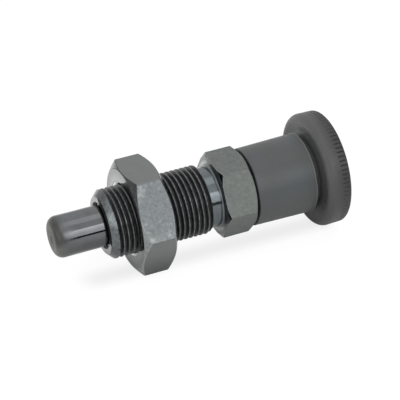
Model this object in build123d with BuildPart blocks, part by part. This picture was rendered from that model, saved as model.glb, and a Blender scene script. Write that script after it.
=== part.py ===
from build123d import *
import os
from math import cos, radians, sin, sqrt, tan

# Indexing plunger with a pull knob and a lock nut.
# The plunger lies along X with its index pin towards -X. The origin is on the axis,
# at the centre of the seating face of the guide body's hexagon. Sizes are in millimetres.

os.makedirs("parts", exist_ok=True)

# ------------------------------------------------------------------ driving sizes

# guide body, outside
thread_diameter = 20.0
thread_length = 34.0  # from the nose face to the hexagon
nose_chamfer = 1.7
undercut_diameter = 17.7
undercut_width = 3.9
undercut_slope = 0.5
undercut_radius = 0.6
hexagon_across_flats = 22.0
hexagon_length = 9.5
hexagon_turn = 6.7  # degrees about X, from the nut's flats
hexagon_front_chamfer_diameter = 22.7
hexagon_rear_chamfer_diameter = 21.5
spigot_diameter = 18.0
spigot_length = 16.5
spigot_edge_radius = 0.5
corner_chamfer_angle = 30.0  # degrees from the end faces, on both hexagons

# guide body, bore
guide_length = 14.0
guide_mouth_chamfer = 0.8
chamber_diameter = 14.2
bush_seat_diameter = 15.4
lip_thickness = 0.6

# index pin
pin_diameter = 12.0
pin_projection = 14.8
pin_corner_radius = 2.5
pin_crown_height = 0.35
grinding_relief_width = 0.8
grinding_relief_depth = 0.3
collar_diameter = 13.6
collar_length = 3.0
stop_shoulder_diameter = 8.4
stem_diameter = 7.0
stem_thread_diameter = 6.0
stem_thread_length = 7.0
stem_thread_chamfer = 0.6

# compression spring
spring_mean_diameter = 11.2
spring_wire_diameter = 1.2
spring_turns = 7

# retaining bush
bush_length = 3.9
bush_edge_chamfer = 0.4

# knob
skirt_front_diameter = 22.75
skirt_rear_diameter = 23.4
skirt_length = 18.0  # from the open end to the ring groove
skirt_bore_diameter = 18.8
skirt_mouth_chamfer = 0.4
skirt_edge_radius = 0.3
ring_groove_diameter = 20.0
ring_groove_width = 1.9
ring_groove_slope = 0.4  # lean of its rear wall
ring_edge_radius = 0.3
rim_inner_diameter = 24.4
rim_inner_radius = 0.7
rim_diameter = 33.6
rim_taper = 0.4
rim_front_setback = 0.9
rim_rear_setback = 8.3
rim_front_radius = 2.0
rim_rear_radius = 0.9
rim_rear_face_width = 2.6
dome_slope = 8.0  # degrees at the dome's edge
serration_count = 80
serration_length = 2.6
serration_depth = 0.35  # below the rim's largest radius

# knob insert
insert_diameter = 10.0
insert_length = 8.0
insert_groove_diameter = 8.6
insert_groove_width = 1.6
insert_mouth_chamfer = 0.5

# lock nut
nut_across_flats = 29.5
nut_thickness = 9.8
nut_chamfer_diameter = 29.1
nut_countersink_diameter = 21.8
nut_to_nose = 7.4

# fits and clearances
guide_clearance = 0.05  # radial, index pin in its guide
stem_clearance = 0.05  # radial, stem in the retaining bush
thread_clearance = 0.05  # radial, nut on the body's thread
knob_gap = 0.5  # hexagon to the knob at rest
hub_gap = 1.0  # spigot's end to the knob's hub at rest

# ------------------------------------------------------------------ stations along X

nose_x = -thread_length
guide_end_x = nose_x + guide_length
collar_rear_x = guide_end_x + collar_length
pin_tip_x = nose_x - pin_projection
spigot_end_x = hexagon_length + spigot_length
bush_rear_x = spigot_end_x - lip_thickness
bush_front_x = bush_rear_x - bush_length
pull_stroke = pin_projection
stop_shoulder_x = bush_front_x - pull_stroke
knob_front_x = hexagon_length + knob_gap
hub_x = spigot_end_x + hub_gap
stem_end_x = hub_x + stem_thread_length
insert_end_x = hub_x + insert_length
skirt_end_x = knob_front_x + skirt_length
rim_inner_x = skirt_end_x + ring_groove_width
rim_front_x = skirt_end_x + rim_front_setback
rim_rear_x = skirt_end_x + rim_rear_setback
nut_front_x = nose_x + nut_to_nose
nut_rear_x = nut_front_x + nut_thickness

# ------------------------------------------------------------------ radii

thread_radius = thread_diameter / 2
undercut_floor_radius = undercut_diameter / 2
spigot_radius = spigot_diameter / 2
guide_bore_radius = pin_diameter / 2 + guide_clearance
chamber_radius = chamber_diameter / 2
bush_seat_radius = bush_seat_diameter / 2
lip_radius = bush_seat_radius - bush_edge_chamfer
pin_radius = pin_diameter / 2
stem_radius = stem_diameter / 2
stem_thread_radius = stem_thread_diameter / 2
chamfer_run = tan(radians(corner_chamfer_angle))


def hexagon_blank(start, end, start_diameter, end_diameter, across_flats):
    """Outline of the turned blank whose cones chamfer a hexagon's two ends."""
    corner_radius = across_flats / sqrt(3)
    start_cut = (corner_radius - start_diameter / 2) * chamfer_run
    end_cut = (corner_radius - end_diameter / 2) * chamfer_run
    return [
        (start, start_diameter / 2),
        (start + start_cut, corner_radius),
        (end - end_cut, corner_radius),
        (end, end_diameter / 2),
    ]


# ------------------------------------------------------------------ guide body

with BuildPart() as guide_body:
    # barrel, undercut, hexagon blank and spigot, turned in one pass
    with BuildSketch(Plane.XZ):
        with BuildLine():
            FilletPolyline(
                (nose_x, 0),
                (nose_x, thread_radius - nose_chamfer),
                (nose_x + nose_chamfer, thread_radius),
                (-undercut_width, thread_radius),
                (-undercut_width + undercut_slope, undercut_floor_radius),
                (0, undercut_floor_radius),
                *hexagon_blank(
                    0,
                    hexagon_length,
                    hexagon_front_chamfer_diameter,
                    hexagon_rear_chamfer_diameter,
                    hexagon_across_flats,
                ),
                (hexagon_length, spigot_radius),
                (spigot_end_x, spigot_radius),
                (spigot_end_x, 0),
                radius=[0, 0, 0, 0, undercut_radius, 0, 0, 0, 0, 0, spigot_edge_radius],
            )
            Line((spigot_end_x, 0), (nose_x, 0))
        make_face()
    revolve(axis=Axis.X)

    # the six flats
    with BuildSketch(Plane.YZ):
        Circle(hexagon_across_flats)
        RegularPolygon(
            hexagon_across_flats / 2,
            6,
            major_radius=False,
            rotation=hexagon_turn,
            mode=Mode.SUBTRACT,
        )
    extrude(amount=hexagon_length, mode=Mode.SUBTRACT)

    # stepped bore: pin guide, spring chamber, bush seat and the lip rolled over the bush
    with BuildSketch(Plane.XZ):
        with BuildLine():
            Polyline(
                (nose_x, 0),
                (nose_x, guide_bore_radius + guide_mouth_chamfer),
                (nose_x + guide_mouth_chamfer, guide_bore_radius),
                (guide_end_x, guide_bore_radius),
                (guide_end_x, chamber_radius),
                (bush_front_x, chamber_radius),
                (bush_front_x, bush_seat_radius),
                (bush_rear_x - bush_edge_chamfer, bush_seat_radius),
                (bush_rear_x, lip_radius),
                (spigot_end_x, lip_radius),
                (spigot_end_x, 0),
                close=True,
            )
        make_face()
    revolve(axis=Axis.X, mode=Mode.SUBTRACT)

# ------------------------------------------------------------------ index pin

relief_start_x = nose_x
relief_end_x = nose_x + grinding_relief_width
relief_radius = pin_radius - grinding_relief_depth

with BuildPart() as index_pin:
    with BuildSketch(Plane.XZ):
        with BuildLine():
            TangentArc((pin_tip_x, 0), (pin_tip_x + pin_crown_height, pin_radius), tangent=(0, 1))
            Polyline(
                (pin_tip_x + pin_crown_height, pin_radius),
                (relief_start_x, pin_radius),
                (relief_start_x, relief_radius),
                (relief_end_x, relief_radius),
                (relief_end_x, pin_radius),
                (guide_end_x, pin_radius),
                (guide_end_x, collar_diameter / 2),
                (collar_rear_x, collar_diameter / 2),
                (collar_rear_x, stop_shoulder_diameter / 2),
                (stop_shoulder_x, stop_shoulder_diameter / 2),
                (stop_shoulder_x, stem_radius),
                (hub_x, stem_radius),
                (hub_x, stem_thread_radius),
                (stem_end_x - stem_thread_chamfer, stem_thread_radius),
                (stem_end_x, stem_thread_radius - stem_thread_chamfer),
                (stem_end_x, 0),
                (pin_tip_x, 0),
            )
        make_face()
    revolve(axis=Axis.X)
    rims = index_pin.edges().filter_by(GeomType.CIRCLE).filter_by(lambda edge: edge.is_closed)
    fillet(rims.sort_by(Axis.X)[0], radius=pin_corner_radius)

# ------------------------------------------------------------------ compression spring

spring_space = bush_front_x - collar_rear_x
spring_pitch = spring_space / spring_turns

with BuildPart() as compression_spring:
    with BuildLine():
        coil = Helix(
            spring_pitch,
            spring_space + spring_pitch,
            spring_mean_diameter / 2,
            center=(collar_rear_x - spring_pitch / 2, 0, 0),
            direction=(1, 0, 0),
        )
    with BuildSketch(Plane(origin=coil @ 0, z_dir=coil % 0)):
        # the wire is drawn with eight flats
        RegularPolygon(spring_wire_diameter / 2, 8, major_radius=False)
    sweep(path=coil, is_frenet=True)
    # both ends are ground flat
    with BuildSketch(Plane.YZ.offset(collar_rear_x)):
        Circle(chamber_radius)
    extrude(amount=spring_space, mode=Mode.INTERSECT)

# ------------------------------------------------------------------ retaining bush

with BuildPart() as retaining_bush:
    with BuildSketch(Plane.XZ):
        with BuildLine():
            Polyline(
                (bush_front_x, stem_radius + stem_clearance),
                (bush_front_x, bush_seat_radius),
                (bush_rear_x - bush_edge_chamfer, bush_seat_radius),
                (bush_rear_x, lip_radius),
                (bush_rear_x, stem_radius + stem_clearance),
                close=True,
            )
        make_face()
    revolve(axis=Axis.X)

# ------------------------------------------------------------------ knob insert

insert_groove_start_x = hub_x + (insert_length - insert_groove_width) / 2
insert_groove_end_x = insert_groove_start_x + insert_groove_width
insert_outline = [
    (hub_x, insert_diameter / 2),
    (insert_groove_start_x, insert_diameter / 2),
    (insert_groove_start_x, insert_groove_diameter / 2),
    (insert_groove_end_x, insert_groove_diameter / 2),
    (insert_groove_end_x, insert_diameter / 2),
    (insert_end_x, insert_diameter / 2),
]

with BuildPart() as knob_insert:
    with BuildSketch(Plane.XZ):
        with BuildLine():
            Polyline(
                *insert_outline,
                (insert_end_x, stem_thread_radius),
                (hub_x + insert_mouth_chamfer, stem_thread_radius),
                (hub_x, stem_thread_radius + insert_mouth_chamfer),
                close=True,
            )
        make_face()
    revolve(axis=Axis.X)

# ------------------------------------------------------------------ pull knob

rim_edge_radius = (rim_diameter - rim_taper) / 2
dome_start_x = rim_rear_x + rim_rear_face_width * tan(radians(dome_slope))
dome_start_radius = rim_edge_radius - rim_rear_face_width
dome_end_x = dome_start_x + dome_start_radius * tan(radians(dome_slope / 2))

with BuildPart() as pull_knob:
    with BuildSketch(Plane.XZ):
        with BuildLine():
            FilletPolyline(
                (knob_front_x, 0),
                (knob_front_x, skirt_front_diameter / 2),
                (skirt_end_x, skirt_rear_diameter / 2),
                (skirt_end_x, ring_groove_diameter / 2),
                (rim_inner_x - ring_groove_slope, ring_groove_diameter / 2),
                (rim_inner_x, rim_inner_diameter / 2),
                (rim_front_x, rim_diameter / 2),
                (rim_rear_x, rim_edge_radius),
                (dome_start_x, dome_start_radius),
                radius=[
                    skirt_edge_radius,
                    ring_edge_radius,
                    0,
                    0,
                    rim_inner_radius,
                    rim_front_radius,
                    rim_rear_radius,
                ],
            )
            TangentArc(
                (dome_start_x, dome_start_radius),
                (dome_end_x, 0),
                tangent=(sin(radians(dome_slope)), -cos(radians(dome_slope))),
            )
            Line((dome_end_x, 0), (knob_front_x, 0))
        make_face()
    revolve(axis=Axis.X)

    # the skirt's bore, down to the hub
    with BuildSketch(Plane.XZ):
        with BuildLine():
            Polyline(
                (knob_front_x, 0),
                (knob_front_x, skirt_bore_diameter / 2 + skirt_mouth_chamfer),
                (knob_front_x + skirt_mouth_chamfer, skirt_bore_diameter / 2),
                (hub_x, skirt_bore_diameter / 2),
                (hub_x, 0),
                close=True,
            )
        make_face()
    revolve(axis=Axis.X, mode=Mode.SUBTRACT)

    # the hub is moulded round the insert
    with BuildSketch(Plane.XZ):
        with BuildLine():
            Polyline(
                (hub_x, 0),
                *insert_outline,
                (insert_end_x, 0),
                close=True,
            )
        make_face()
    revolve(axis=Axis.X, mode=Mode.SUBTRACT)

    # fine V-shaped serrations round the back of the rim
    with BuildSketch(Plane.YZ.offset(rim_rear_x - serration_length)):
        with PolarLocations(rim_diameter / 2, serration_count):
            RegularPolygon(serration_depth, 4)
    extrude(amount=serration_length, mode=Mode.SUBTRACT)

# ------------------------------------------------------------------ lock nut

nut_bore_radius = thread_radius + thread_clearance
countersink_depth = (nut_countersink_diameter / 2 - nut_bore_radius) * chamfer_run

with BuildPart() as lock_nut:
    # threaded blank, countersunk at both ends
    with BuildSketch(Plane.XZ):
        with BuildLine():
            Polyline(
                *hexagon_blank(
                    nut_front_x,
                    nut_rear_x,
                    nut_chamfer_diameter,
                    nut_chamfer_diameter,
                    nut_across_flats,
                ),
                (nut_rear_x, nut_countersink_diameter / 2),
                (nut_rear_x - countersink_depth, nut_bore_radius),
                (nut_front_x + countersink_depth, nut_bore_radius),
                (nut_front_x, nut_countersink_diameter / 2),
                close=True,
            )
        make_face()
    revolve(axis=Axis.X)

    # the six flats
    with BuildSketch(Plane.YZ.offset(nut_front_x)):
        Circle(nut_across_flats)
        RegularPolygon(nut_across_flats / 2, 6, major_radius=False, mode=Mode.SUBTRACT)
    extrude(amount=nut_thickness, mode=Mode.SUBTRACT)

# ------------------------------------------------------------------ export

pieces = {
    "guide_body": guide_body,
    "index_pin": index_pin,
    "compression_spring": compression_spring,
    "retaining_bush": retaining_bush,
    "knob_insert": knob_insert,
    "pull_knob": pull_knob,
    "lock_nut": lock_nut,
}
for name, piece in pieces.items():
    piece.part.label = name
    export_step(piece.part, f"parts/{name}.step")
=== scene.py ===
from math import cos, hypot, pi, radians, sin, sqrt, tan, tau

import bmesh
import bpy
from mathutils import Matrix, Vector


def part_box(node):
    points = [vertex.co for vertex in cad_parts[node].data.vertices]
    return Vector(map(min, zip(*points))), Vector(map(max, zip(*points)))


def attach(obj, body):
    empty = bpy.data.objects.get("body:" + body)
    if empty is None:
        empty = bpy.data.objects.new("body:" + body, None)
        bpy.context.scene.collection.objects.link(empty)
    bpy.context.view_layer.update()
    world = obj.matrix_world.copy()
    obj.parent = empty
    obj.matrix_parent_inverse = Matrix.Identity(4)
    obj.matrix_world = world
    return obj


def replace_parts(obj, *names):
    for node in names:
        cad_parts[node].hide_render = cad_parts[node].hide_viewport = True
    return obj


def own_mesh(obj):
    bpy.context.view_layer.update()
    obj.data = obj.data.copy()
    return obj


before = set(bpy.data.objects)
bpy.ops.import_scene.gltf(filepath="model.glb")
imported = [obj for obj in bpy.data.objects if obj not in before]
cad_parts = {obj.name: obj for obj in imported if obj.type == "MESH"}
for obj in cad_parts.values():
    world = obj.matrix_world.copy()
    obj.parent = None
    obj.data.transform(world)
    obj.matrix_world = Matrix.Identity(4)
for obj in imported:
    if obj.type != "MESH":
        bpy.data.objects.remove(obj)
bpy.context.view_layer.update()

mm = 0.001

# ------------------------------------------------------------------ camera

camera_place = Vector((-159.4, -408.3, 248.2)) * mm
camera_right = Vector((0.91877, -0.38948, -0.06455))
camera_up = Vector((0.24498, 0.43425, 0.86685))
camera_back = Vector((-0.30958, -0.81225, 0.49440))

camera_data = bpy.data.cameras.new("camera")
camera_data.lens = 158.8
camera_data.sensor_width = 36.0
camera_data.clip_start = 0.01
camera_data.clip_end = 50.0
camera = bpy.data.objects.new("camera", camera_data)
axes = Matrix((camera_right, camera_up, camera_back)).transposed().to_4x4()
camera.matrix_world = Matrix.Translation(camera_place) @ axes
bpy.context.scene.collection.objects.link(camera)
bpy.context.scene.camera = camera

# ------------------------------------------------------------------ sizes, in millimetres

# index pin
pin_tip_x = -48.8

# threaded barrel
nose_x = -34.0
nose_chamfer = 1.7
thread_radius = 10.0
thread_root_radius = 9.08
thread_pitch = 1.5
thread_crest_width = 0.26
thread_edge_break = 0.05
thread_phase = 0.75
lead_in_length = 1.2
lead_in_ring = 0.5
undercut_start = -3.9
undercut_floor_start = -3.4
undercut_radius = 8.85
undercut_fillet = 0.6

# bore of the body
guide_radius = 6.05
guide_mouth_radius = 6.85
guide_mouth_depth = 0.8
guide_end_x = -20.0
chamber_radius = 7.1

# body's hexagon
hexagon_length = 9.5
hexagon_flats = 22.0
hexagon_turn = 6.7  # degrees
hexagon_front_circle = 22.7  # diameter of the face inside its chamfer
hexagon_rear_circle = 21.5
hexagon_bore_radius = 8.5
hexagon_corner_break = 0.3
hexagon_edge_break = 0.28

# spigot, and the lip rolled over the bush
spigot_start_x = 2.0
spigot_end_x = 26.0
spigot_radius = 9.0
spigot_edge = 0.5
spigot_edge_crown = 0.15
bush_front_x = 21.5
bush_rear_x = 25.4
bush_seat_radius = 7.7
lip_radius = 7.3
lip_slope_length = 0.4

# lock nut
nut_front_x = -26.6
nut_rear_x = -16.82
nut_flats = 29.5
nut_circle = 29.1  # diameter of each face inside its chamfer
nut_bore_radius = 10.05
nut_countersink_radius = 10.9
nut_corner_break = 0.4
nut_edge_break = 0.25

# knob
skirt_end_x = 28.0
skirt_end_radius = 11.7
flash_radius = 0.14
flash_setback = 0.3
flash_sink = 0.03
gate_radius = 1.9
gate_depth = 0.3
gate_edge_break = 0.1
gate_edge_drop = 0.02

# spring
spring_radius = 5.6
spring_wire_radius = 0.6
spring_turns = 7
spring_clearance = 0.05

# axial length per millimetre of radius, on thread flanks, chamfers and countersinks
cone_slope = tan(radians(30))

# both hexagons: how far the turned blank stands over the flats' corners
corner_stock = 0.03

# how finely round forms are divided
wire_sides = 12
coil_steps = 48
thread_steps = 96
flash_sides = 8
fillet_steps = 6

# ------------------------------------------------------------------ making finishes

# directions that tones follow, among them painted light and shade: along the axis, upward, and out from
# the axis to one side
lengthwise = (1, 0, 0)
upward = (0, 0, 1)
near_side = (0, -0.854, 0.52)
under_side = (0, -0.52, -0.854)
top_side = (0, 0.52, 0.854)
# the side where the nose's chamfer has a painted highlight
highlight_side = (0, -0.704, 0.710)
shaded_side = (0, -0.796, 0.606)
near_corner = (0, -0.25, 0.968)


def feed(tree, inlet, source):
    """Links a socket to an inlet, or gives the inlet a plain value."""
    if isinstance(source, bpy.types.NodeSocket):
        tree.links.new(source, inlet)
    else:
        inlet.default_value = source


def add_node(tree, kind, **settings):
    """Adds a node; each setting is one of its properties, or what one of its inlets gets."""
    node = tree.nodes.new(kind)
    for key, value in settings.items():
        if hasattr(node, key):
            setattr(node, key, value)
        else:
            feed(tree, node.inputs[key], value)
    return node


def feed_in_order(tree, node, sources):
    """Feeds a node's inlets from the first on, for nodes whose inlets share a name."""
    for inlet, source in zip(node.inputs, sources):
        feed(tree, inlet, source)
    return node.outputs[0]


def calculate(tree, operation, *values):
    """A sum, product or the like of numbers and sockets."""
    return feed_in_order(tree, add_node(tree, "ShaderNodeMath", operation=operation), values)


def dot_product(tree, place, direction):
    node = add_node(tree, "ShaderNodeVectorMath", operation="DOT_PRODUCT")
    feed_in_order(tree, node, (place, direction))
    return node.outputs["Value"]


def map_range(tree, value, start, end, low, high, kind="LINEAR"):
    """Takes start...end to low...high; each may be a number or a socket."""
    node = add_node(tree, "ShaderNodeMapRange", interpolation_type=kind, Value=value)
    limits = {"From Min": start, "From Max": end, "To Min": low, "To Max": high}
    for name, limit in limits.items():
        feed(tree, node.inputs[name], limit)
    return node.outputs["Result"]


def fade(tree, value, start, end, low=0.0, high=1.0):
    """Goes softly from low at start to high at end."""
    return map_range(tree, value, start, end, low, high, "SMOOTHSTEP")


def span(tree, value, low, high, start=0.3, end=0.7):
    """Takes a pattern from its usual range to low...high."""
    return map_range(tree, value, start, end, low, high)


def blend(tree, fac, first, second, kind="RGBA"):
    """Goes from the first colour or number to the second as fac goes from 0 to 1."""
    node = add_node(tree, "ShaderNodeMix", data_type=kind, Factor=fac, A=first, B=second)
    return node.outputs["Result"]


def tint(tree, fac, dark, light):
    """A colour between two that are given as red, green and blue."""
    return blend(tree, fac, (*dark, 1), (*light, 1))


def mix_shaders(tree, share, first, second):
    return feed_in_order(tree, add_node(tree, "ShaderNodeMixShader"), (share, first, second))


def own_place(tree):
    """A point's place in the piece's own coordinates, in metres."""
    return add_node(tree, "ShaderNodeTexCoord").outputs["Object"]


def pattern(tree, scale, detail, roughness, stretch=(1, 1, 1)):
    """Noise in the piece's own coordinates; scale is in cycles per metre along each axis."""
    mapping = add_node(
        tree, "ShaderNodeMapping", Vector=own_place(tree), Scale=[scale * s for s in stretch]
    )
    noise = add_node(
        tree,
        "ShaderNodeTexNoise",
        Vector=mapping.outputs["Vector"],
        Scale=1.0,
        Detail=detail,
        Roughness=roughness,
    )
    return noise.outputs["Fac"]


def clouds(tree, scale, detail, roughness, start=0.3, end=0.7):
    """Noise spread over 0 to 1; a narrower start and end give harder blotches."""
    return span(tree, pattern(tree, scale, detail, roughness), 0.0, 1.0, start, end)


def along(tree, direction, start, end):
    """0 at start and 1 at end, in millimetres along a direction through the origin."""
    return fade(tree, dot_product(tree, own_place(tree), direction), start * mm, end * mm)


def outward(tree, start, end):
    """0 at start and 1 at end, in millimetres out from the plunger's axis."""
    across = add_node(tree, "ShaderNodeVectorMath", operation="MULTIPLY")
    length = add_node(tree, "ShaderNodeVectorMath", operation="LENGTH")
    feed_in_order(tree, length, [feed_in_order(tree, across, (own_place(tree), (0, 1, 1)))])
    return fade(tree, length.outputs["Value"], start * mm, end * mm)


def new_finish(name):
    """A new material, its node tree and its shader."""
    material = bpy.data.materials.new(name)
    material.use_nodes = True
    tree = material.node_tree
    shader = next(node for node in tree.nodes if node.type == "BSDF_PRINCIPLED")
    return material, tree, shader


def set_shader(tree, shader, colour, roughness, metallic):
    feed(tree, shader.inputs["Base Color"], colour)
    feed(tree, shader.inputs["Roughness"], roughness)
    feed(tree, shader.inputs["Metallic"], metallic)


def relief(tree, shader, height, depth, strength=1.0):
    """A grain too fine to model; depth is in millimetres."""
    bumps = add_node(tree, "ShaderNodeBump", Height=height, Distance=depth * mm, Strength=strength)
    feed(tree, shader.inputs["Normal"], bumps.outputs["Normal"])


# ------------------------------------------------------------------ plain steels and brass


def steel(
    name, dark, light, metallic, rough, blotch, grain, grain_depth, stretch=(1, 1, 1), speckle=0.62
):
    """One metal all over: cloudy tones from dark to light, and a grain that the tool left."""
    material, tree, shader = new_finish(name)
    colour = tint(tree, clouds(tree, blotch, 5.0, speckle, 0.34, 0.66), dark, light)
    roughness = span(tree, pattern(tree, grain, 2.0, 0.5, stretch), *rough)
    set_shader(tree, shader, colour, roughness, metallic)
    relief(tree, shader, pattern(tree, grain, 2.0, 0.6, stretch), grain_depth)
    return material


body_steel = steel(
    "body_steel",
    dark=(0.092, 0.102, 0.097),
    light=(0.146, 0.158, 0.151),
    metallic=0.7,
    rough=(0.42, 0.52),
    blotch=850,
    grain=7000,
    grain_depth=0.012,
    speckle=0.85,
)
rubbed_steel = steel(
    "rubbed_steel",
    dark=(0.22, 0.23, 0.23),
    light=(0.38, 0.39, 0.385),
    metallic=0.85,
    rough=(0.30, 0.44),
    blotch=1500,
    grain=6000,
    grain_depth=0.01,
)
# painted highlight: far lighter than the nut's oxide, so that its bumps glint
countersink_steel = steel(
    "countersink_steel",
    dark=(0.38, 0.39, 0.38),
    light=(0.85, 0.86, 0.85),
    metallic=1.0,
    rough=(0.10, 0.25),
    blotch=900,
    grain=1000,
    grain_depth=0.18,
)
# painted shade: the thread's flanks darker than the body's oxide, for the shade in its grooves
flank_steel = steel(
    "flank_steel",
    dark=(0.033, 0.034, 0.035),
    light=(0.074, 0.076, 0.078),
    metallic=0.9,
    rough=(0.34, 0.48),
    blotch=1100,
    grain=5000,
    grain_depth=0.005,
    stretch=(4, 1, 1),
)
crest_steel = steel(
    "crest_steel",
    dark=(0.050, 0.052, 0.054),
    light=(0.210, 0.216, 0.221),
    metallic=0.95,
    rough=(0.28, 0.42),
    blotch=1300,
    grain=5000,
    grain_depth=0.005,
    stretch=(4, 1, 1),
)
undercut_steel = steel(
    "undercut_steel",
    dark=(0.101, 0.116, 0.123),
    light=(0.126, 0.143, 0.150),
    metallic=0.98,
    rough=(0.12, 0.17),
    blotch=500,
    grain=6000,
    grain_depth=0.003,
    stretch=(6, 1, 1),
)
# painted shade: near black, for the shade in the bore and its mouth
bore_steel = steel(
    "bore_steel",
    dark=(0.006, 0.006, 0.006),
    light=(0.010, 0.010, 0.010),
    metallic=0.95,
    rough=(0.4, 0.5),
    blotch=600,
    grain=5000,
    grain_depth=0.003,
)
bush_steel = steel(
    "bush_steel",
    dark=(0.25, 0.25, 0.24),
    light=(0.35, 0.35, 0.33),
    metallic=1.0,
    rough=(0.25, 0.35),
    blotch=600,
    grain=4000,
    grain_depth=0.005,
)
spring_steel = steel(
    "spring_steel",
    dark=(0.3, 0.3, 0.3),
    light=(0.4, 0.4, 0.4),
    metallic=1.0,
    rough=(0.25, 0.35),
    blotch=600,
    grain=4000,
    grain_depth=0.005,
)
insert_brass = steel(
    "insert_brass",
    dark=(0.55, 0.38, 0.14),
    light=(0.7, 0.5, 0.22),
    metallic=1.0,
    rough=(0.2, 0.3),
    blotch=600,
    grain=4000,
    grain_depth=0.005,
)

# ------------------------------------------------------------------ the body's turned faces


def seating_face():
    """The hexagon's front face: turned fine; painted shade makes it black on the near side and darker
    out over its chamfer, and a painted highlight lightens the ring by the undercut.
    """
    material, tree, shader = new_finish("turned_steel")
    tone = clouds(tree, 700, 3.0, 0.6)
    seat = tint(tree, tone, (0.25, 0.26, 0.26), (0.34, 0.35, 0.35))
    # painted shade: the face darkens out towards and over its chamfer
    edge = tint(tree, tone, (0.140, 0.148, 0.148), (0.185, 0.193, 0.193))
    # painted shade: black on the near side
    black = tint(tree, tone, (0.022, 0.024, 0.024), (0.038, 0.040, 0.040))
    # painted highlight: the ring by the undercut is lighter
    wear_and_painted_highlight = tint(tree, tone, (0.37, 0.38, 0.38), (0.53, 0.54, 0.54))
    ring = blend(tree, along(tree, near_side, 0.5, 4.0), wear_and_painted_highlight, black)
    painted_light_tone = blend(tree, outward(tree, 10.0, 10.7), seat, edge)
    face = blend(tree, along(tree, near_side, 1.5, 5.0), painted_light_tone, black)
    past_ring = outward(tree, 9.75, 9.95)
    colour = blend(tree, past_ring, ring, face)
    set_shader(tree, shader, colour, span(tree, past_ring, 0.36, 0.08, 0.0, 1.0), 0.95)
    relief(tree, shader, pattern(tree, 5000, 2.0, 0.6), 0.003)
    return material


def nose_face():
    """The nose's face: turned, bright over and under the pin, with painted shade that makes it black on
    one side.
    """
    material, tree, shader = new_finish("nose_steel")
    tone = clouds(tree, 600, 5.0, 0.62, 0.34, 0.66)
    bright = tint(tree, tone, (0.196, 0.202, 0.200), (0.281, 0.287, 0.285))
    # painted shade: black and less metallic on the shaded side
    black = tint(tree, tone, (0.004, 0.004, 0.004), (0.009, 0.009, 0.009))
    shaded = along(tree, shaded_side, 4.2, 5.1)
    colour = blend(tree, shaded, bright, black)
    roughness = span(tree, pattern(tree, 5000, 2.0, 0.5), 0.09, 0.14)
    set_shader(tree, shader, colour, roughness, span(tree, shaded, 0.98, 0.35, 0.0, 1.0))
    relief(tree, shader, pattern(tree, 5000, 2.0, 0.6), 0.003)
    shader.inputs["Specular IOR Level"].default_value = 0.0
    return material


def nose_chamfer_face():
    """The nose's chamfer: cloudy oxide, with a painted highlight on one side, painted shade that darkens
    its top and painted shade that blackens part of its inner edge.
    """
    material, tree, shader = new_finish("chamfer_steel")
    tone = clouds(tree, 1100, 5.0, 0.62, 0.34, 0.66)
    even = tint(tree, tone, (0.080, 0.088, 0.092), (0.145, 0.155, 0.158))
    # painted highlight on one side
    painted_light_tone = tint(tree, tone, (0.110, 0.121, 0.127), (0.196, 0.210, 0.214))
    # painted shade over the top
    darker = tint(tree, tone, (0.056, 0.061, 0.064), (0.100, 0.107, 0.109))
    # painted shade at the inner edge on the shaded side
    black = tint(tree, tone, (0.010, 0.011, 0.011), (0.018, 0.019, 0.019))
    with_painted_highlight = blend(tree, along(tree, highlight_side, 8.2, 9.3), even, painted_light_tone)
    outside = blend(tree, along(tree, top_side, 5.4, 7.4), with_painted_highlight, darker)
    inside = blend(tree, along(tree, shaded_side, 4.6, 5.6), outside, black)
    colour = blend(tree, outward(tree, 8.40, 8.55), inside, outside)
    roughness = span(tree, pattern(tree, 4000, 2.0, 0.5, (1, 2, 2)), 0.14, 0.24)
    set_shader(tree, shader, colour, roughness, 0.95)
    relief(tree, shader, pattern(tree, 4000, 2.0, 0.6, (1, 2, 2)), 0.006)
    return material


turned_steel = seating_face()
nose_steel = nose_face()
chamfer_steel = nose_chamfer_face()

# ------------------------------------------------------------------ the lock nut's finishes


def nut_flat():
    """The nut's smooth flats: even oxide, with painted shade that makes them a little blacker
    underneath.
    """
    material, tree, shader = new_finish("nut_steel")
    tone = clouds(tree, 420, 5.0, 0.62)
    even = tint(tree, tone, (0.130, 0.137, 0.136), (0.158, 0.164, 0.162))
    # painted shade: blacker towards the bottom
    under = tint(tree, tone, (0.085, 0.089, 0.088), (0.108, 0.112, 0.110))
    colour = blend(tree, along(tree, upward, -4.0, -15.0), even, under)
    set_shader(tree, shader, colour, span(tree, tone, 0.38, 0.48, 0.0, 1.0), 0.75)
    relief(tree, shader, pattern(tree, 5000, 2.0, 0.6), 0.008)
    return material


def nut_edge():
    """The nut's broken edges: painted shade makes them black by one corner; bright with wear elsewhere.
    """
    material, tree, shader = new_finish("nut_edge_steel")
    tone = clouds(tree, 1500, 4.0, 0.6)
    # painted shade: black by one corner
    black = tint(tree, tone, (0.035, 0.037, 0.037), (0.060, 0.063, 0.062))
    wear_and_painted_highlight = tint(tree, tone, (0.17, 0.18, 0.18), (0.34, 0.35, 0.345))
    colour = blend(tree, along(tree, near_corner, 8.0, 12.0), wear_and_painted_highlight, black)
    set_shader(tree, shader, colour, span(tree, tone, 0.32, 0.44, 0.0, 1.0), 0.85)
    return material


def nut_end_face():
    """The nut's end faces: lighter towards the bore as a painted reflection, duller towards the chamfer.
    """
    material, tree, shader = new_finish("faced_steel")
    tone = clouds(tree, 900, 4.0, 0.65)
    # painted reflection: lighter towards the bore
    painted_reflection = tint(tree, tone, (0.230, 0.236, 0.234), (0.370, 0.377, 0.373))
    outside = tint(tree, tone, (0.165, 0.171, 0.169), (0.225, 0.231, 0.229))
    colour = blend(tree, outward(tree, 11.4, 13.6), painted_reflection, outside)
    set_shader(tree, shader, colour, span(tree, tone, 0.09, 0.15, 0.0, 1.0), 0.98)
    relief(tree, shader, pattern(tree, 5000, 2.0, 0.6), 0.003)
    return material


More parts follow.
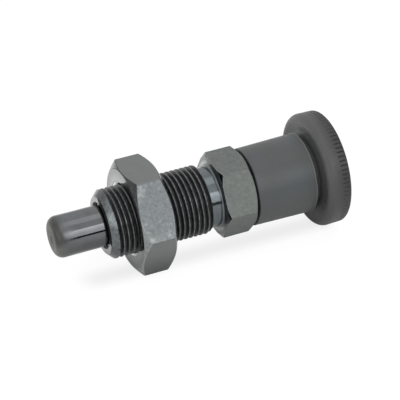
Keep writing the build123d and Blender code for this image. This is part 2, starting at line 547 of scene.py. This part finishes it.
def nut_worn_flat():
    """The nut's flat that hands touched most: bluish mottling, bright with wear by its edges."""
    material, tree, shader = new_finish("worn_flat_steel")
    mottle = clouds(tree, 1150, 4.0, 0.72, 0.34, 0.66)
    speckle = clouds(tree, 3200, 2.0, 0.6)
    cloudy = tint(tree, mottle, (0.080, 0.094, 0.099), (0.150, 0.163, 0.166))
    grainy = tint(tree, mottle, (0.112, 0.124, 0.128), (0.192, 0.204, 0.206))
    bright = tint(tree, speckle, (0.19, 0.205, 0.205), (0.31, 0.325, 0.32))
    by_low_edge = along(tree, upward, 3.6, 0.6)
    by_top_edge = along(tree, upward, 9.5, 13.5)
    by_front = along(tree, lengthwise, nut_front_x + 4.5, nut_front_x + 1.5)
    by_corner = calculate(tree, "MULTIPLY", by_top_edge, by_front)
    by_edge = calculate(tree, "MAXIMUM", by_low_edge, by_corner)
    wear_and_painted_highlight = calculate(tree, "MULTIPLY_ADD", by_edge, 0.14, pattern(tree, 700, 4.0, 0.65))
    wear = span(tree, wear_and_painted_highlight, 0.0, 1.0, 0.56, 0.78)
    colour = blend(tree, wear, blend(tree, speckle, cloudy, grainy), bright)
    set_shader(tree, shader, colour, span(tree, mottle, 0.36, 0.50, 0.0, 1.0), 0.75)
    relief(tree, shader, pattern(tree, 3200, 2.0, 0.6), 0.012)
    return material


def nut_chamfer():
    """The nut's turned chamfer: painted shade makes it black by one corner; lighter elsewhere."""
    material, tree, shader = new_finish("nut_chamfer_steel")
    tone = clouds(tree, 1000, 3.0, 0.6)
    light = tint(tree, tone, (0.170, 0.186, 0.188), (0.260, 0.276, 0.276))
    # painted shade: black by one corner
    dark = tint(tree, tone, (0.034, 0.036, 0.036), (0.060, 0.063, 0.062))
    colour = blend(tree, along(tree, near_corner, 9.5, 14.0), light, dark)
    set_shader(tree, shader, colour, span(tree, tone, 0.22, 0.34, 0.0, 1.0), 0.9)
    relief(tree, shader, pattern(tree, 5000, 2.0, 0.6), 0.006)
    return material


nut_steel = nut_flat()
nut_edge_steel = nut_edge()
faced_steel = nut_end_face()
worn_flat_steel = nut_worn_flat()
nut_chamfer_steel = nut_chamfer()

# ------------------------------------------------------------------ the pin's and the knob's finishes


def ground_pin():
    """Ground along its length and polished, with painted shade that darkens its underside; the tip is
    duller and browner, and painted light makes its rounding lighter underneath.
    """
    material, tree, shader = new_finish("pin_steel")
    tone = clouds(tree, 350, 3.0, 0.55)
    shank = tint(tree, tone, (0.1075, 0.1118, 0.1170), (0.1290, 0.1333, 0.1376))
    # painted shade: darker underside
    under = tint(tree, tone, (0.0900, 0.0935, 0.0970), (0.1080, 0.1115, 0.1145))
    crown = tint(tree, tone, (0.0300, 0.0305, 0.0285), (0.0400, 0.0402, 0.0375))
    corner = tint(tree, tone, (0.0620, 0.0625, 0.0590), (0.0810, 0.0810, 0.0765))
    # painted light: the tip's rounding lighter underneath
    low_corner = tint(tree, tone, (0.100, 0.101, 0.095), (0.127, 0.127, 0.120))
    rounding = blend(tree, along(tree, under_side, 1.5, 4.0), corner, low_corner)
    tip = blend(tree, outward(tree, 2.4, 3.6), crown, rounding)
    shaft = blend(tree, along(tree, under_side, 2.2, 4.6), shank, under)
    behind_tip = along(tree, lengthwise, pin_tip_x + 0.6, pin_tip_x + 4.2)
    polish = along(tree, lengthwise, pin_tip_x + 0.5, pin_tip_x + 8.0)
    scratches = pattern(tree, 900, 2.0, 0.5, (0.35, 4, 4))
    tip_roughness = span(tree, scratches, 0.37, 0.41)
    roughness = calculate(tree, "MULTIPLY_ADD", polish, -0.29, tip_roughness)
    set_shader(tree, shader, blend(tree, behind_tip, tip, shaft), roughness, 1.0)
    relief(tree, shader, scratches, 0.002)
    return material


def moulded_plastic(name, lightness=1.0):
    """Black plastic with a fine texture: bluish blotches on the skirt, kept to its upper side as a
    painted sheen; painted light and shade make the face lighter on top and the rim blacker; the rim is
    also duller.
    """
    material, tree, shader = new_finish(name)

    def shade(fac, dark, light):
        return tint(tree, fac, [c * lightness for c in dark], [c * lightness for c in light])

    tone = clouds(tree, 140, 3.0, 0.55)
    # painted sheen: the bluish blotches fade out below
    bloom_and_sheen = calculate(tree, "MULTIPLY", tone, along(tree, upward, -9.0, 3.0))
    skirt = shade(bloom_and_sheen, (0.0400, 0.0425, 0.0412), (0.0420, 0.0510, 0.0550))
    # painted light and shade: the face darker below and lighter on top
    low_face = shade(tone, (0.0265, 0.0280, 0.0262), (0.0315, 0.0330, 0.0312))
    high_face = shade(tone, (0.0500, 0.0522, 0.0505), (0.0585, 0.0608, 0.0592))
    face = blend(tree, along(tree, upward, -10.0, 8.0), low_face, high_face)
    # painted shade: the rim blacker than the face
    rim = shade(tone, (0.0180, 0.0192, 0.0178), (0.0215, 0.0228, 0.0212))
    onto_face = along(tree, lengthwise, skirt_end_x - 3.0, skirt_end_x + 0.5)
    onto_rim = along(tree, lengthwise, skirt_end_x + 0.8, skirt_end_x + 7.5)
    colour = blend(tree, onto_rim, blend(tree, onto_face, skirt, face), rim)
    roughness = span(tree, pattern(tree, 2500, 2.0, 0.5), 0.42, 0.54)
    set_shader(tree, shader, colour, roughness, 0.0)
    gloss = span(tree, onto_rim, 0.55, 0.38, 0.0, 1.0)
    feed(tree, shader.inputs["Specular IOR Level"], gloss)
    relief(tree, shader, pattern(tree, 4200, 3.0, 0.65), 0.04, 0.7)
    return material


pin_steel = ground_pin()
knob_plastic = moulded_plastic("knob_plastic")
# the bead's plastic, 2.4 times lighter: a painted highlight
flash_highlight_plastic = moulded_plastic("flash_highlight_plastic", 2.4)

# ------------------------------------------------------------------ making meshes


def turned(points, steps=192):
    """A closed outline in the XZ plane, in millimetres, turned about X."""
    shape = bmesh.new()
    verts = [shape.verts.new((x * mm, 0, r * mm)) for x, r in points]
    edges = [shape.edges.new(pair) for pair in zip(verts, verts[1:] + verts[:1])]
    bmesh.ops.spin(
        shape,
        geom=verts + edges,
        axis=(1, 0, 0),
        cent=(0, 0, 0),
        angle=tau,
        steps=steps,
        use_merge=True,
    )
    bmesh.ops.remove_doubles(shape, verts=shape.verts, dist=1e-7)
    bmesh.ops.recalc_face_normals(shape, faces=shape.faces)
    return shape


def is_sharp(edge, least_angle):
    """Whether an edge between two faces bends by more than an angle in degrees."""
    return len(edge.link_faces) == 2 and edge.calc_face_angle() > radians(least_angle)


def runs_lengthwise(edge):
    return abs((edge.verts[1].co - edge.verts[0].co).normalized().x) >= 0.99


def break_edges(shape, edges, width, segments):
    """Rounds edges by a width in millimetres, as tumbling does, and gives the new faces."""
    broken = bmesh.ops.bevel(
        shape,
        geom=edges,
        offset=width * mm,
        offset_type="OFFSET",
        affect="EDGES",
        segments=segments,
        profile=0.5,
        material=-1,
        clamp_overlap=True,
    )
    return broken["faces"]


def soften_hexagon(shape, corner_width, edge_width):
    """Breaks the six long corners, then all other sharp edges, and gives the latter's new faces."""
    sharp = [edge for edge in shape.edges if is_sharp(edge, 18)]
    corners = [edge for edge in sharp if runs_lengthwise(edge)]
    break_edges(shape, corners, corner_width, segments=5)
    sharp = [edge for edge in shape.edges if is_sharp(edge, 18)]
    return set(break_edges(shape, sharp, edge_width, segments=2))


def mill_flats(shape, across_flats, turn):
    """Cuts six flats, each by a plane, and closes each cut; the turn is in degrees."""
    for side in range(6):
        angle = radians(turn + 30 + 60 * side)
        out = Vector((0, cos(angle), sin(angle)))
        cut = bmesh.ops.bisect_plane(
            shape,
            geom=shape.verts[:] + shape.edges[:] + shape.faces[:],
            dist=1e-8,
            plane_co=out * (across_flats / 2 * mm),
            plane_no=out,
            clear_outer=True,
        )
        rim = [item for item in cut["geom_cut"] if isinstance(item, bmesh.types.BMEdge)]
        bmesh.ops.edgeloop_fill(shape, edges=rim)
    bmesh.ops.recalc_face_normals(shape, faces=shape.faces)


def dress_faces(shape, finishes, finish_of):
    """Gives each face the finish that finish_of names for it, by its number in the list."""
    numbers = {finish.name: number for number, finish in enumerate(finishes)}
    for face in shape.faces:
        face.material_index = numbers[finish_of(face).name]


def finished(shape, name, body, materials, crease=32):
    """Makes the piece's object, smooth between sharp edges, and sets it on its body."""
    for edge in shape.edges:
        if is_sharp(edge, crease):
            edge.smooth = False
    for face in shape.faces:
        face.smooth = True
    mesh = bpy.data.meshes.new(name)
    shape.to_mesh(mesh)
    shape.free()
    for material in materials:
        mesh.materials.append(material)
    piece = bpy.data.objects.new(name, mesh)
    bpy.context.scene.collection.objects.link(piece)
    weighted = piece.modifiers.new("even_shading", "WEIGHTED_NORMAL")
    weighted.keep_sharp = True
    weighted.weight = 50
    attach(piece, body)
    return piece


# ------------------------------------------------------------------ threaded barrel


def new_loop(shape, loop, x, radius):
    """Extrudes a boundary loop to another station of the turned outline."""
    made = bmesh.ops.extrude_edge_only(shape, edges=loop)["geom"]
    verts = [item for item in made if isinstance(item, bmesh.types.BMVert)]
    for vert in verts:
        old = hypot(vert.co.y, vert.co.z)
        vert.co = (x * mm, vert.co.y * radius * mm / old, vert.co.z * radius * mm / old)
    fresh = set(verts)
    return [
        item
        for item in made
        if isinstance(item, bmesh.types.BMEdge) and fresh.issuperset(item.verts)
    ]


def cut_across(shape, x, clear_inner=False, clear_outer=False):
    """Cuts square across the axis at x; what lies before it or behind it may be cleared."""
    bmesh.ops.bisect_plane(
        shape,
        geom=shape.verts[:] + shape.edges[:] + shape.faces[:],
        dist=1e-8,
        plane_co=(x * mm, 0, 0),
        plane_no=(1, 0, 0),
        clear_inner=clear_inner,
        clear_outer=clear_outer,
    )


def thread_profile(first):
    """One pitch of the thread's profile from first on, with its corners a little broken."""
    shape = bmesh.new()
    flank = (thread_radius - thread_root_radius) * cone_slope
    root_half = (thread_pitch - thread_crest_width - 2 * flank) / 2
    outline = [
        (0, thread_root_radius),
        (root_half, thread_root_radius),
        (root_half + flank, thread_radius),
        (root_half + flank + thread_crest_width, thread_radius),
        (thread_pitch - root_half, thread_root_radius),
        (thread_pitch, thread_root_radius),
    ]
    verts = [shape.verts.new(((first + x) * mm, 0, r * mm)) for x, r in outline]
    for pair in zip(verts, verts[1:]):
        shape.edges.new(pair)
    bmesh.ops.bevel(
        shape,
        geom=verts[1:-1],
        offset=thread_edge_break * mm,
        offset_type="OFFSET",
        affect="VERTICES",
        segments=1,
        profile=0.5,
        material=-1,
    )
    least_rise = (thread_radius - thread_root_radius) / 3 * mm
    flanks = [edge for edge in shape.edges if abs(edge.verts[0].co.z - edge.verts[1].co.z) > least_rise]
    bmesh.ops.subdivide_edges(shape, edges=flanks, cuts=4)
    return shape


def thread_surface(start, end):
    """A right-hand thread: its profile is spun forward by a pitch, and that turn is repeated."""
    first = start - 2 * thread_pitch + thread_phase
    shape = thread_profile(first)
    bmesh.ops.spin(
        shape,
        geom=shape.verts[:] + shape.edges[:],
        axis=(1, 0, 0),
        cent=(0, 0, 0),
        dvec=(thread_pitch * mm / thread_steps, 0, 0),
        angle=tau,
        steps=thread_steps,
    )
    one_turn = shape.verts[:] + shape.edges[:] + shape.faces[:]
    for turn in range(1, int((end - first) / thread_pitch) + 1):
        copy = bmesh.ops.duplicate(shape, geom=one_turn)["geom"]
        bmesh.ops.translate(
            shape,
            verts=[item for item in copy if isinstance(item, bmesh.types.BMVert)],
            vec=(turn * thread_pitch * mm, 0, 0),
        )
    bmesh.ops.remove_doubles(shape, verts=shape.verts, dist=1e-6)
    return shape


def groove_share(x):
    """The groove's depth at x as a share: none on the nose chamfer, all past the lead-in."""
    share = min(1, max(0, (x - nose_x - nose_chamfer) / lead_in_length))
    return share * share * (3 - 2 * share)


def fit_thread(shape):
    """Fades the groove in, and keeps the thread inside the nose chamfer and the undercut's cone."""
    undercut_slope = (thread_radius - undercut_radius) / (undercut_floor_start - undercut_start)
    for vert in shape.verts:
        x, radius = vert.co.x / mm, hypot(vert.co.y, vert.co.z) / mm
        fitted = min(
            thread_radius - (thread_radius - radius) * groove_share(x),
            thread_radius - max(0, nose_x + nose_chamfer - x),
            thread_radius - undercut_slope * max(0, x - undercut_start),
        )
        vert.co.y *= fitted / radius
        vert.co.z *= fitted / radius


def close_barrel(shape):
    """Carries the front rim down the bore and the rear rim over the undercut, and joins them."""
    rims = [edge for edge in shape.edges if len(edge.link_faces) == 1]
    middle_x = (nose_x + undercut_floor_start) / 2
    front_rim = [edge for edge in rims if edge.verts[0].co.x < middle_x * mm]
    rear_rim = [edge for edge in rims if edge.verts[0].co.x > middle_x * mm]
    for x, radius in (
        (nose_x, guide_mouth_radius),
        (nose_x + guide_mouth_depth, guide_radius),
        (guide_end_x, guide_radius),
        (guide_end_x, chamber_radius),
        (spigot_start_x, chamber_radius),
    ):
        front_rim = new_loop(shape, front_rim, x, radius)
    for step in range(fillet_steps + 1):
        angle = radians(90 * step / fillet_steps)
        rear_rim = new_loop(
            shape,
            rear_rim,
            -undercut_fillet * (1 - sin(angle)),
            undercut_radius + undercut_fillet * (1 - cos(angle)),
        )
    rear_rim = new_loop(shape, rear_rim, spigot_start_x, undercut_radius + undercut_fillet)
    bmesh.ops.bridge_loops(shape, edges=front_rim + rear_rim)
    bmesh.ops.recalc_face_normals(shape, faces=shape.faces)


def barrel_finish(face):
    """Which of the barrel's finishes a face gets, by where its middle lies."""
    centre = face.calc_center_median()
    x, radius = centre.x / mm, hypot(centre.y, centre.z) / mm
    if radius < guide_mouth_radius + 0.05:
        return bore_steel
    if x > undercut_start + 0.2:
        return undercut_steel
    if x < nose_x + 0.1:
        return nose_steel
    if x < nose_x + nose_chamfer:
        return chamfer_steel
    if radius > thread_radius - 0.1:
        return crest_steel
    return flank_steel


def threaded_barrel():
    """Nose, thread, undercut and stepped bore in one closed skin."""
    shape = thread_surface(nose_x, undercut_floor_start)
    cut_across(shape, nose_x, clear_inner=True)
    cut_across(shape, undercut_floor_start, clear_outer=True)
    cut_across(shape, nose_x + nose_chamfer)
    cut_across(shape, nose_x + nose_chamfer + lead_in_ring)
    cut_across(shape, undercut_start)
    fit_thread(shape)
    close_barrel(shape)
    finishes = [flank_steel, undercut_steel, chamfer_steel, nose_steel, bore_steel, crest_steel]
    dress_faces(shape, finishes, barrel_finish)
    return finished(shape, "threaded_barrel", "body", finishes)


# ------------------------------------------------------------------ body's hexagon and spigot


def hexagon_blank(start, end, start_circle, end_circle, flats):
    """The outer outline of a turned blank, chamfered to a circle at each end."""
    corner = flats / sqrt(3) + corner_stock
    return [
        (start, start_circle / 2),
        (start + (corner - start_circle / 2) * cone_slope, corner),
        (end - (corner - end_circle / 2) * cone_slope, corner),
        (end, end_circle / 2),
    ]


def body_hexagon():
    """The hexagon with its broken edges bright with wear and its front face turned."""
    shape = turned(
        [
            *hexagon_blank(0, hexagon_length, hexagon_front_circle, hexagon_rear_circle, hexagon_flats),
            (hexagon_length, hexagon_bore_radius),
            (0, hexagon_bore_radius),
        ]
    )
    mill_flats(shape, hexagon_flats, hexagon_turn)
    edges = soften_hexagon(shape, hexagon_corner_break, hexagon_edge_break)

    def finish_of(face):
        if face in edges:
            return rubbed_steel
        return turned_steel if face.normal.x < -0.8 else body_steel

    finishes = [body_steel, turned_steel, rubbed_steel]
    dress_faces(shape, finishes, finish_of)
    return finished(shape, "body_hexagon", "body", finishes)


def spigot():
    """The guide behind the hexagon, with the rolled lip that holds the bush."""
    shape = turned(
        [
            (spigot_start_x, spigot_radius),
            (spigot_end_x - spigot_edge, spigot_radius),
            (spigot_end_x - spigot_edge_crown, spigot_radius - spigot_edge_crown),
            (spigot_end_x, spigot_radius - spigot_edge),
            (spigot_end_x, lip_radius),
            (bush_rear_x, lip_radius),
            (bush_rear_x - lip_slope_length, bush_seat_radius),
            (bush_front_x, bush_seat_radius),
            (bush_front_x, chamber_radius),
            (spigot_start_x, chamber_radius),
        ]
    )
    return finished(shape, "guide_spigot", "body", [body_steel])


# ------------------------------------------------------------------ lock nut


def nut_finish(face):
    """The nut's finish away from its broken edges, by where a face is and how it faces."""
    centre = face.calc_center_median()
    if hypot(centre.y, centre.z) < nut_countersink_radius * mm:
        return countersink_steel
    if abs(face.normal.x) > 0.95:
        return faced_steel
    if abs(face.normal.x) > 0.8:
        return nut_chamfer_steel
    if face.normal.y < -0.5 and face.normal.z > 0.3:
        return worn_flat_steel
    return nut_steel


def lock_nut():
    """A chamfered blank with six flats, broken edges and a countersunk bore."""
    countersink_depth = (nut_countersink_radius - nut_bore_radius) * cone_slope
    shape = turned(
        [
            *hexagon_blank(nut_front_x, nut_rear_x, nut_circle, nut_circle, nut_flats),
            (nut_rear_x, nut_countersink_radius),
            (nut_rear_x - countersink_depth, nut_bore_radius),
            (nut_front_x + countersink_depth, nut_bore_radius),
            (nut_front_x, nut_countersink_radius),
        ]
    )
    mill_flats(shape, nut_flats, 0)
    edges = soften_hexagon(shape, nut_corner_break, nut_edge_break)

    def finish_of(face):
        return nut_edge_steel if face in edges else nut_finish(face)

    finishes = [
        nut_steel,
        faced_steel,
        nut_edge_steel,
        nut_chamfer_steel,
        worn_flat_steel,
        countersink_steel,
    ]
    dress_faces(shape, finishes, finish_of)
    return finished(shape, "hexagon_lock_nut", "nut", finishes)


# ------------------------------------------------------------------ spring, mould flash and gate mark


def spring_coil():
    """The wire's round section, wound about the axis and cut square at both ends."""
    start, end = (corner.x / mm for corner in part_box("compression_spring"))
    steps = spring_turns * coil_steps
    lift = (end - spring_clearance - start - 2 * spring_wire_radius) / steps
    shape = bmesh.new()
    bmesh.ops.create_circle(shape, segments=wire_sides, radius=spring_wire_radius * mm)
    bmesh.ops.rotate(shape, verts=shape.verts, matrix=Matrix.Rotation(pi / 2, 3, "X"))
    bmesh.ops.translate(
        shape, verts=shape.verts, vec=((start + spring_wire_radius) * mm, 0, spring_radius * mm)
    )
    bmesh.ops.spin(
        shape,
        geom=shape.verts[:] + shape.edges[:],
        axis=(1, 0, 0),
        cent=(0, 0, 0),
        dvec=(lift * mm, 0, 0),
        angle=tau * spring_turns,
        steps=steps,
    )
    open_ends = [edge for edge in shape.edges if len(edge.link_faces) == 1]
    bmesh.ops.holes_fill(shape, edges=open_ends, sides=wire_sides)
    bmesh.ops.recalc_face_normals(shape, faces=shape.faces)
    return finished(shape, "spring_coil", "spring", [spring_steel])


def mould_flash():
    """The thin bead that the mould left round the rear end of the knob's skirt; its lighter plastic is a
    painted highlight.
    """
    x, radius = skirt_end_x - flash_setback, skirt_end_radius - flash_sink
    angles = [tau * side / flash_sides for side in range(flash_sides)]
    outline = [(x + flash_radius * cos(a), radius + flash_radius * sin(a)) for a in angles]
    return finished(turned(outline), "mould_flash", "plunger", [flash_highlight_plastic], 60)


def gate_mark():
    """The trimmed gate at the middle of the knob's dome, level with its highest point."""
    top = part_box("pull_knob")[1].x / mm
    outline = [
        (top - gate_depth, 0),
        (top - gate_depth, gate_radius),
        (top - gate_edge_drop, gate_radius),
        (top, gate_radius - gate_edge_break),
        (top, 0),
    ]
    return finished(turned(outline, 64), "gate_mark", "plunger", [knob_plastic])


# ------------------------------------------------------------------ pieces that replace or join solids

for piece in (threaded_barrel(), body_hexagon(), spigot()):
    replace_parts(piece, "guide_body")
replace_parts(lock_nut(), "lock_nut")
coil = spring_coil()
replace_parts(coil, "compression_spring")
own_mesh(coil)
mould_flash()
gate_mark()

# ------------------------------------------------------------------ pieces that keep their solids

for node, material in (
    ("index_pin", pin_steel),
    ("retaining_bush", bush_steel),
    ("knob_insert", insert_brass),
    ("pull_knob", knob_plastic),
):
    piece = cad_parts[node]
    piece.data.materials.clear()
    piece.data.materials.append(material)

# ------------------------------------------------------------------ floor

# the plunger rests on the knob's rim and on the front of the nut's lowest flat
rim_bottom = Vector((31.3, 0, -16.8)) * mm
nut_bottom = Vector((-26.48, 0, -14.75)) * mm
floor_line = (rim_bottom - nut_bottom).normalized()
floor_up = Vector((-floor_line.z, 0, floor_line.x))
floor_gap = 0.02 * mm
floor_reach = 3.0  # metres
floor_front = 0.19  # metres

floor_paper = (0.82, 0.82, 0.82, 1)
floor_white = 1.035
floor_white_share = 0.9
floor_glow = 0.13

# the painted shadow: a grey band on the floor under the axis, in millimetres from the rim's lowest point
band_depth = 0.135  # share of the floor's white that it takes away
band_across = (-0.0328, 0.9995, 0)
band_offset = 1.66
band_half_width = 7.6
band_front_end = (-77.3, -68.0)
band_rear_end = (6.0, 0.0)


def floor_distance(tree, direction, offset=0):
    """How far a point of the floor lies along a direction, from the rim's lowest point."""
    return calculate(tree, "ADD", dot_product(tree, own_place(tree), direction), offset * mm)


def shadow_band(tree):
    """How grey the painted shadow band is: 1 along its middle, 0 outside it."""
    beside = calculate(tree, "ABSOLUTE", floor_distance(tree, band_across, band_offset))
    lengthways = floor_distance(tree, lengthwise)
    share = fade(tree, beside, band_half_width * mm, 0)
    for outside, inside in (band_front_end, band_rear_end):
        end_share = fade(tree, lengthways, outside * mm, inside * mm)
        share = calculate(tree, "MULTIPLY", share, end_share)
    return share


def floor_finish():
    """Pale paper that the camera sees as nearly even white, with the painted shadow, a grey band, on it.
    """
    material = bpy.data.materials.new("floor")
    material.use_nodes = True
    tree = material.node_tree
    tree.nodes.clear()
    seen = add_node(tree, "ShaderNodeLightPath").outputs["Is Camera Ray"]
    paper = add_node(tree, "ShaderNodeBsdfDiffuse", Color=floor_paper)
    glow = calculate(tree, "MULTIPLY_ADD", seen, -floor_glow, floor_glow)
    glowing = add_node(tree, "ShaderNodeEmission", Color=(1, 1, 1, 1), Strength=glow)
    lit_paper = feed_in_order(
        tree, add_node(tree, "ShaderNodeAddShader"), (paper.outputs[0], glowing.outputs[0])
    )
    banded = calculate(
        tree, "MULTIPLY_ADD", shadow_band(tree), -floor_white * band_depth, floor_white
    )
    white = add_node(tree, "ShaderNodeEmission", Color=(1, 1, 1, 1), Strength=banded)
    share = calculate(tree, "MULTIPLY", seen, floor_white_share)
    surface = mix_shaders(tree, share, lit_paper, white.outputs[0])
    add_node(tree, "ShaderNodeOutputMaterial", Surface=surface)
    return material


def pale_floor():
    """A flat floor under the plunger, cut short in front: past its edge the room is darker."""
    shape = bmesh.new()
    bmesh.ops.create_grid(shape, x_segments=1, y_segments=1, size=floor_reach)
    for vert in shape.verts:
        vert.co.y = max(vert.co.y, -floor_front)
    mesh = bpy.data.meshes.new("floor")
    shape.to_mesh(mesh)
    shape.free()
    mesh.materials.append(floor_finish())
    floor = bpy.data.objects.new("floor", mesh)
    floor.matrix_world = (
        Matrix.Translation(rim_bottom - floor_up * floor_gap)
        @ Vector((0, 0, 1)).rotation_difference(floor_up).to_matrix().to_4x4()
    )
    bpy.context.scene.collection.objects.link(floor)


pale_floor()

# ------------------------------------------------------------------ room

wall_light = 0.15
back_light = 0.85
sky_light = 1.2
left_light = 1.05
front_light = 0.02
opening_direction = (0.45, -0.89, 0.0)


def room():
    """White to the camera; to the piece, bright above, behind and at the left, dark in front."""
    world = bpy.data.worlds.new("room")
    bpy.context.scene.world = world
    world.use_nodes = True
    tree = world.node_tree
    tree.nodes.clear()
    direction = add_node(tree, "ShaderNodeTexCoord").outputs["Generated"]
    axis = add_node(tree, "ShaderNodeSeparateXYZ", Vector=direction).outputs
    toward_opening = dot_product(tree, direction, Vector(opening_direction).normalized())
    walls = fade(tree, axis["Y"], 0.3, 0.7, wall_light, back_light)
    walls_and_sky = fade(tree, axis["Z"], 0.25, 0.6, walls, sky_light)
    past_left = fade(tree, axis["X"], -0.35, 0.1)
    closed_room = blend(tree, past_left, left_light, walls_and_sky, "FLOAT")
    into_opening = fade(tree, toward_opening, 0.8, 0.93)
    strength = blend(tree, into_opening, closed_room, front_light, "FLOAT")
    lit = add_node(tree, "ShaderNodeBackground", Color=(1, 1, 1, 1), Strength=strength)
    white = add_node(tree, "ShaderNodeBackground", Color=(1, 1, 1, 1), Strength=1.0)
    seen = add_node(tree, "ShaderNodeLightPath").outputs["Is Camera Ray"]
    surface = mix_shaders(tree, seen, lit.outputs[0], white.outputs[0])
    add_node(tree, "ShaderNodeOutputWorld", Surface=surface)


room()

# ------------------------------------------------------------------ lamps

# name, direction from the piece, width and height in metres, and how bright its face is
softboxes = [
    ("top_softbox", (0.1, -0.15, 1.0), 1.6, 0.5, 0.6),
    ("front_softbox", (0.46, -0.74, 0.50), 1.3, 0.40, 2.45),
    ("front_fill", (0.50, -0.80, 0.216), 1.3, 0.312, 2.1),
    ("left_softbox", (-1.0, -0.35, 0.25), 0.8, 0.6, 0.9),
]
lamp_distance = 1.2  # metres


def softbox(name, direction, width, height, radiance):
    """A rectangular lamp that faces the middle of the piece; its width lies level."""
    lamp = bpy.data.lights.new(name, "AREA")
    lamp.shape = "RECTANGLE"
    lamp.size = width
    lamp.size_y = height
    lamp.energy = radiance * pi * width * height
    piece = bpy.data.objects.new(name, lamp)
    away = Vector(direction).normalized()
    side = Vector((0, 0, 1)).cross(away).normalized()
    axes = Matrix((side, away.cross(side), away)).transposed().to_4x4()
    piece.matrix_world = Matrix.Translation(away * lamp_distance) @ axes
    piece.visible_camera = False
    bpy.context.scene.collection.objects.link(piece)


for row in softboxes:
    softbox(*row)

# ------------------------------------------------------------------ view transform

bpy.context.scene.view_settings.view_transform = "Standard"
